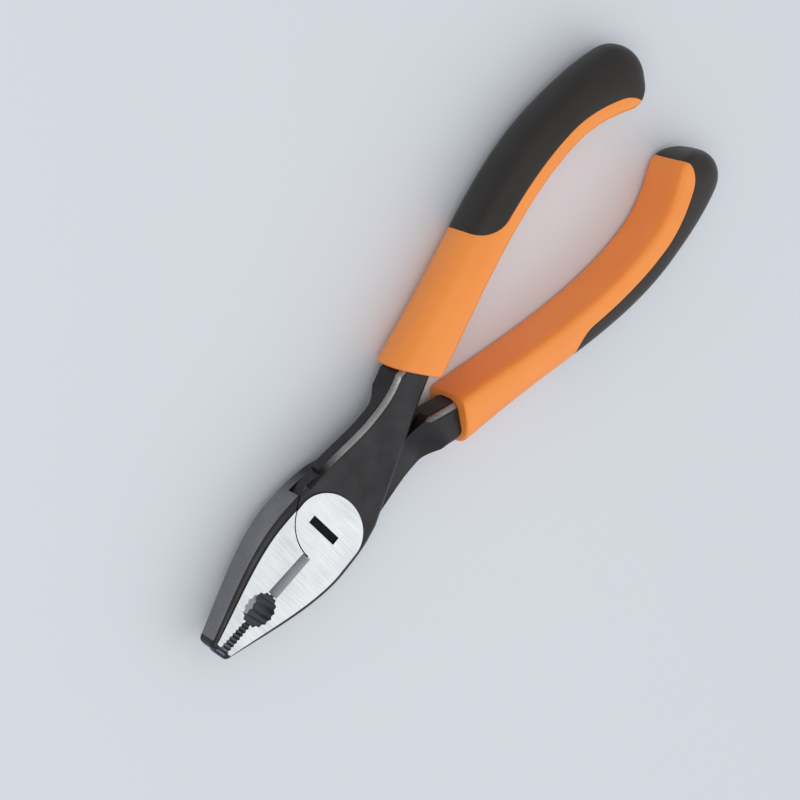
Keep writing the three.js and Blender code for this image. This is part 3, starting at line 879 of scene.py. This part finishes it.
# %% Levers: blanks, tools and booleans
FORGED, GROUND, MILLED, ETCHED, WORN_AND_HIGHLIGHT, WORN_AND_HIGHLIGHT_ROOT, SATIN, WHETTED = range(8)
LEVER_STEELS = (
    forged_steel, ground_steel, milled_steel, etched_steel, worn_and_highlight_steel, worn_and_highlight_root_steel,
    satin_steel, whetted_steel)
FORGED_HALF = HEAD_THICKNESS / 2 - GROUND_RELIEF
RIM_SIZE, RIM_POWER, RIM_STEPS = 1.8, 1.5, 9
NOSE_RIM_SHARE = 0.5
GROUND_EDGE = (
    (0, GROUND_RELIEF), (GROUND_RELIEF * 0.4, 0.06), (GROUND_RELIEF * 0.5, 0.01),
    (GROUND_RELIEF * 0.6, 0))
SATIN_RINGS, SATIN_START = 3, -3.0
# These rings, slope, side and start pick the rims that get the worn steel with its painted
# highlight.
WORN_AND_HIGHLIGHT_RINGS, WORN_AND_HIGHLIGHT_SLOPE, WORN_AND_HIGHLIGHT_BESIDE, WORN_AND_HIGHLIGHT_ROOT_START = (3, 6), 0.2, 8.0, -24.0
BEYOND, OVERSHOOT = 60.0, 1.0


def drawn_in(outline, inset):
    """The outline moved inward by inset mm along its normals, and by less at the nose."""
    step = np.roll(outline, -1, 0) - np.roll(outline, 1, 0)
    normal = np.stack([-step[:, 1], step[:, 0]], 1) / np.linalg.norm(step, axis=1)[:, None]
    nose = np.clip((outline[:, 1] - TAPER_START) / (JAW_LENGTH - TAPER_START), 0, 1)
    return outline + normal * (inset * (1 - (1 - NOSE_RIM_SHARE) * nose))[:, None]


def loft(rings, finish, cap_finish):
    """A closed mesh through rings of points, from the lowest to the highest."""
    count = len(rings[0])
    top = count * (len(rings) - 1)
    ring = np.arange(count)
    sides = [
        [low + i, low + j, low + count + j, low + count + i]
        for low in range(0, top, count) for i, j in zip(ring, np.roll(ring, -1))]
    caps = [list(ring[::-1]), list(top + ring)]
    mesh = bpy.data.meshes.new("loft")
    mesh.from_pydata(np.concatenate(rings).tolist(), [], sides + caps)
    mesh.polygons.foreach_set(
        "material_index", [finish] * len(sides) + [cap_finish] * len(caps))
    for material in LEVER_STEELS:
        mesh.materials.append(material)
    return mesh


def stack(outline, levels, finish, cap_finish):
    """A solid from levels of (inset, height), from the lowest to the highest."""
    rings = [
        np.c_[drawn_in(outline, inset), np.full(len(outline), height)]
        for inset, height in levels]
    return loft(rings, finish, cap_finish)


def alike(edge, half_thickness):
    """Levels with one edge for both faces, given as (inset, depth below the face)."""
    upper = [(inset, half_thickness - depth) for inset, depth in edge]
    return [(inset, -height) for inset, height in upper[::-1]] + upper


def rim_edge():
    """The forging's soft edge, from its upright side to its flat face."""
    turn = np.linspace(0, math.pi / 2, RIM_STEPS)
    inset = RIM_SIZE * (1 - np.cos(turn) ** (2 / RIM_POWER))
    return list(zip(inset, RIM_SIZE * (1 - np.sin(turn) ** (2 / RIM_POWER))))


def prism(points, low, high, finish=FORGED, axes="xyz"):
    """A straight tool of one finish; axes says where its own x, y and z point."""
    points = np.array(points, float)
    x, y = points.T
    area = np.sum(x * np.roll(y, -1) - y * np.roll(x, -1))
    mesh = stack(points if area > 0 else points[::-1], [(0, low), (0, high)], finish, finish)
    if axes == "yzx":
        mesh.transform(Matrix(((0, 0, 1, 0), (1, 0, 0, 0), (0, 1, 0, 0), (0, 0, 0, 1))))
    if axes == "xzy":
        mesh.transform(Matrix(((1, 0, 0, 0), (0, 0, 1, 0), (0, 1, 0, 0), (0, 0, 0, 1))))
        mesh.flip_normals()
    return mesh


def combine(body, operation, tool):
    """The boolean of two meshes as a new mesh."""
    pair = [bpy.data.objects.new("part", mesh) for mesh in (body, tool)]
    for part in pair:
        bpy.context.scene.collection.objects.link(part)
    boolean = pair[0].modifiers.new("boolean", "BOOLEAN")
    boolean.operation, boolean.object, boolean.solver = operation, pair[1], "EXACT"
    boolean.material_mode = "INDEX"
    graph = bpy.context.evaluated_depsgraph_get()
    result = bpy.data.meshes.new_from_object(pair[0].evaluated_get(graph), depsgraph=graph)
    for part in pair:
        bpy.data.objects.remove(part)
    return result


def tapered(mesh):
    """The mesh with its head drawn together toward the nose."""
    shape = bmesh.new()
    shape.from_mesh(mesh)
    bmesh.ops.bisect_plane(
        shape, geom=[*shape.verts, *shape.edges, *shape.faces], dist=1e-5,
        plane_co=(0, TAPER_START, 0), plane_no=(0, 1, 0))
    for corner in shape.verts:
        share = max(corner.co.y - TAPER_START, 0) / (JAW_LENGTH - TAPER_START)
        corner.co.z *= 1 - share * (1 - NOSE_THICKNESS / HEAD_THICKNESS)
    shape.to_mesh(mesh)
    shape.free()
    return mesh


def forging_blank():
    """The forging, with belt-ground jaw sides and worn edges on the shank that are also a
    painted highlight.
    """
    outline = forging_outline()
    mesh = stack(outline, alike(rim_edge(), FORGED_HALF), FORGED, FORGED)
    least, most = WORN_AND_HIGHLIGHT_RINGS
    for face in mesh.polygons:
        x, y, _ = face.center
        ring = face.index // len(outline) - RIM_STEPS + 1
        aside = face.normal.x
        if abs(ring) <= SATIN_RINGS and SATIN_START < y < JAW_LENGTH - NOSE_ROUND:
            face.material_index = SATIN
        # Worn steel with a painted highlight goes on two sets of rims, the ones that catch the
        # light: the outer rim of one face along the shank, and, beside the handle, the inner rim
        # of the other face.
        if least <= ring <= most and aside > WORN_AND_HIGHLIGHT_SLOPE and x > WORN_AND_HIGHLIGHT_BESIDE and y < 0:
            face.material_index = WORN_AND_HIGHLIGHT
        if least <= -ring <= most and aside < -WORN_AND_HIGHLIGHT_SLOPE and y < WORN_AND_HIGHLIGHT_ROOT_START:
            face.material_index = WORN_AND_HIGHLIGHT_ROOT
    return tapered(mesh)


def ground_blank():
    levels = alike(GROUND_EDGE, HEAD_THICKNESS / 2)
    return tapered(stack(ground_outline(), levels, FORGED, GROUND))


lever_blank = combine(forging_blank(), "UNION", ground_blank())
print("the lever blank has", len(lever_blank.polygons), "faces")

# %% [markdown]
# The lap joint decides what each lever keeps: the front half of the thickness round the
# pivot and along the shank, and the full thickness of its own jaw and of the shank
# beyond the other lever's sweep. The bite is one outline: a row of teeth at the nose,
# a toothed oval for round work, and a cutter whose two bevels meet at mid thickness.

# %% Levers: the tools' shapes
STOP_ANGLE, SHOULDER_ANGLE = -22, 164
LOWER_SHANK_START, LOWER_SHANK_RAMP, LOWER_SHANK_LEAD = 25.0, 9.0, 6.0
RAMP_POINTS, PASS_CLEARANCE = 25, 1.4
CUTTER_LAND, CUTTER_END, BEVEL_WIDTH = 0.08, 25.0, 1.0
OVAL_START, OVAL_END, OVAL_DEPTH, OVAL_TEETH, OVAL_TOOTH = 25.4, 33.8, 3.1, 7, 0.5
NOSE_START, NOSE_TEETH, NOSE_TOOTH, NOSE_GAP = 34.3, 9, 0.4, 0.12
BAR_CENTRE, BAR_SIZE, BAR_DEPTH = (1.2, 5.0), (9.6, 2.2), 0.3
MOULDING_CLEARANCE = 0.25


def far(angle):
    """A point well outside the lever, in a direction in degrees."""
    return np.array((math.cos(math.radians(angle)), math.sin(math.radians(angle)))) * BEYOND


def kept_region():
    ring = (DISC_RADIUS, DISC_RADIUS)
    front = np.concatenate([
        [(0, BEYOND)], arc(ring, 90, STOP_ANGLE),
        [far(STOP_ANGLE), (BEYOND, -BEYOND), (-BEYOND, -BEYOND), (-BEYOND, BEYOND)]])
    outer = (DISC_RADIUS + DISC_CLEARANCE,) * 2
    jaw = np.concatenate([
        [(0, BEYOND)], arc(outer, 90, SHOULDER_ANGLE), [far(SHOULDER_ANGLE), (-BEYOND, BEYOND)]])
    passing = PASS_CLEARANCE - NECK_INNER[0]
    shank = [
        (BEYOND, -LOWER_SHANK_START), (passing, -LOWER_SHANK_START),
        (PASS_CLEARANCE, NECK_INNER[1] - LOWER_SHANK_LEAD),
        (PASS_CLEARANCE, -BEYOND), (BEYOND, -BEYOND)]
    region = prism(front, LAP_CLEARANCE / 2, HEAD_THICKNESS)
    region = combine(region, "UNION", prism(jaw, -HEAD_THICKNESS, OVERSHOOT))
    return combine(region, "UNION", prism(shank, -HEAD_THICKNESS, OVERSHOOT))


def bite_tool():
    chord = OVAL_END - OVAL_START
    radius = (chord ** 2 / 4 + OVAL_DEPTH ** 2) / (2 * OVAL_DEPTH)
    middle = np.array((-NOSE_GAP - OVAL_DEPTH + radius, (OVAL_START + OVAL_END) / 2))
    half_angle = math.asin(chord / 2 / radius)
    points = [(BEYOND, DISC_RADIUS), (-CUTTER_LAND, DISC_RADIUS), (-CUTTER_LAND, CUTTER_END)]
    for i in range(2 * OVAL_TEETH + 1):
        angle = math.pi + half_angle * (1 - i / OVAL_TEETH)
        reach = radius + OVAL_TOOTH * (i % 2)
        points.append(middle + (reach * math.cos(angle), reach * math.sin(angle)))
    pitch = (JAW_LENGTH - NOSE_START) / NOSE_TEETH
    for i in range(NOSE_TEETH):
        points.append((-NOSE_GAP, NOSE_START + i * pitch))
        points.append((-NOSE_GAP - NOSE_TOOTH, NOSE_START + (i + 0.5) * pitch))
    points += [(-NOSE_GAP, JAW_LENGTH), (-NOSE_GAP, BEYOND), (BEYOND, BEYOND)]
    return prism(points, -BEYOND, BEYOND, MILLED)


def bevel_tool(side):
    """The wheel that grinds one bevel of the cutter, on the front or the back side."""
    reach = side * (HEAD_THICKNESS / 2 + OVERSHOOT)
    slope = BEVEL_WIDTH / (HEAD_THICKNESS / 2)
    points = [(-CUTTER_LAND, 0), (BEYOND, 0), (BEYOND, reach),
              (-CUTTER_LAND - slope * abs(reach), reach)]
    return prism(points, DISC_RADIUS + DISC_CLEARANCE, CUTTER_END, WHETTED, axes="xzy")


def ramp_tool():
    """Fades the back half of the shank in behind the other lever's sweep."""
    share = np.linspace(0, 1, RAMP_POINTS)
    height = LAP_CLEARANCE / 2 - (LAP_CLEARANCE / 2 + FORGED_HALF) * ease(share, 0, 1)
    ramp = np.stack([-LOWER_SHANK_START - LOWER_SHANK_RAMP * share, height], 1)
    front = OVERSHOOT - LOWER_SHANK_START
    points = np.concatenate([
        [(ramp[-1, 0], -HEAD_THICKNESS), (front, -HEAD_THICKNESS),
         (front, LAP_CLEARANCE / 2)], ramp])
    return prism(points, -BEYOND, BEYOND, axes="yzx")


def mouth_tool():
    """Everything from the mouth of the handle on, less a moulding clearance."""
    near = [COLLAR_OUTER - MOUTH_SLANT * BEYOND, COLLAR_INNER + MOUTH_SLANT * BEYOND]
    near = [point - MOUTH_INWARD * MOULDING_CLEARANCE for point in near]
    beyond = [point + MOUTH_INWARD * 2 * BEYOND for point in near[::-1]]
    return prism([*near, *beyond], -BEYOND, BEYOND)


def turned_tool(profile):
    """A round tool about the pivot, from (radius, height) pairs on its outside."""
    circle = arc((1, 1), 0, 360)[:-1]
    rings = [np.c_[circle * radius, np.full(len(circle), height)] for radius, height in profile]
    return loft(rings, FORGED, FORGED)


print("tools: region, bite, two bevels, ramp, mouth, bore")

# %% [markdown]
# Both levers are the same up to the pivot. The front one gets a blind bore and the
# etched bar, the rear one a countersunk bore. A narrow strip of steel runs on into the
# handle as a tang.

# %% Levers: cut, smooth and place them
TANG_STEEL_THICKNESS, TANG_STEEL_ROOT, TANG_STEEL_TIP = 6.0, 8.5, 4.4
PIN_RADIUS, PIN_DEPTH, RIVET_HEAD_RADIUS, RIVET_HEAD_DEPTH = 4.0, 4.0, 6.0, 2.2
TANG_POINTS, TANG_START = 25, 0.02 * HANDLE_LENGTH
LEVER_SHARP = 28


def tang_steel():
    place = np.linspace(TANG_START, TANG_REACH, TANG_POINTS)
    half = (TANG_STEEL_ROOT + (TANG_STEEL_TIP - TANG_STEEL_ROOT) * place / TANG_REACH) / 2
    side = [
        offset_point(place, TANG_OFFSET + sign * half, np.zeros(TANG_POINTS))[:, :2]
        for sign in (1, -1)]
    outline = np.concatenate([side[0], side[1][::-1]])
    return prism(outline, -TANG_STEEL_THICKNESS / 2, TANG_STEEL_THICKNESS / 2)


def cut_lever():
    mesh = combine(lever_blank, "INTERSECT", kept_region())
    for tool in (bite_tool(), bevel_tool(1), bevel_tool(-1), ramp_tool(), mouth_tool()):
        mesh = combine(mesh, "DIFFERENCE", tool)
    return combine(mesh, "UNION", tang_steel())


def front_tools():
    x, y = BAR_SIZE[0] / 2, BAR_SIZE[1] / 2
    bar = np.array([(-x, -y), (x, -y), (x, y), (-x, y)]) + BAR_CENTRE
    bore = turned_tool([(PIN_RADIUS, -OVERSHOOT), (PIN_RADIUS, PIN_DEPTH)])
    return bore, prism(bar, HEAD_THICKNESS / 2 - BAR_DEPTH, HEAD_THICKNESS, ETCHED)


def rear_tools():
    half = HEAD_THICKNESS / 2
    return (turned_tool([
        (PIN_RADIUS, -OVERSHOOT), (PIN_RADIUS, half - RIVET_HEAD_DEPTH),
        (RIVET_HEAD_RADIUS, half), (RIVET_HEAD_RADIUS, half + OVERSHOOT)]),)


lever = cut_lever()
for half, tools in (("front", front_tools()), ("rear", rear_tools())):
    mesh = lever
    for tool in tools:
        mesh = combine(mesh, "DIFFERENCE", tool)
    mesh.transform(PLACES[half])
    smooth(mesh, LEVER_SHARP)
    piece = add_piece(f"{half}_forging", mesh, half, f"{half}_lever")
    flatten = piece.modifiers.new("flat faces", "WEIGHTED_NORMAL")
    flatten.keep_sharp = True
    print(piece.name, len(mesh.polygons), "faces")

# %% [markdown]
# The rivet is turned. Its flush head lies in the back face and its shank ends blind in
# the front lever. It is drawn as a profile, in radius and height from the middle of the
# head to the end of the shank, and turned once round the pivot axis.

# %% Rivet
RIVET_STEPS, RIVET_SHARP = 128, 35
RIVET_PROFILE = (
    (0.0, -5.5), (5.7, -5.5), (5.82, -5.44), (5.85, -5.32),
    (3.85, -3.45), (3.85, 3.55), (3.55, 3.85), (0.0, 3.85))


def rivet_mesh():
    shape = bmesh.new()
    profile = [shape.verts.new((r, 0, z)) for r, z in RIVET_PROFILE]
    edges = [shape.edges.new(pair) for pair in zip(profile, profile[1:])]
    bmesh.ops.spin(
        shape, geom=profile + edges, cent=(0, 0, 0), axis=(0, 0, 1),
        angle=2 * math.pi, steps=RIVET_STEPS, use_merge=True)
    bmesh.ops.remove_doubles(shape, verts=shape.verts, dist=0.0005)
    bmesh.ops.recalc_face_normals(shape, faces=shape.faces)
    shape.transform(PLACES["front"])
    mesh = bpy.data.meshes.new("rivet")
    shape.to_mesh(mesh)
    shape.free()
    smooth(mesh, RIVET_SHARP)
    mesh.materials.append(milled_steel)
    return mesh


rivet = add_piece("turned_rivet", rivet_mesh(), "front", "pivot_rivet")
print(rivet.name, len(rivet.data.polygons), "faces")
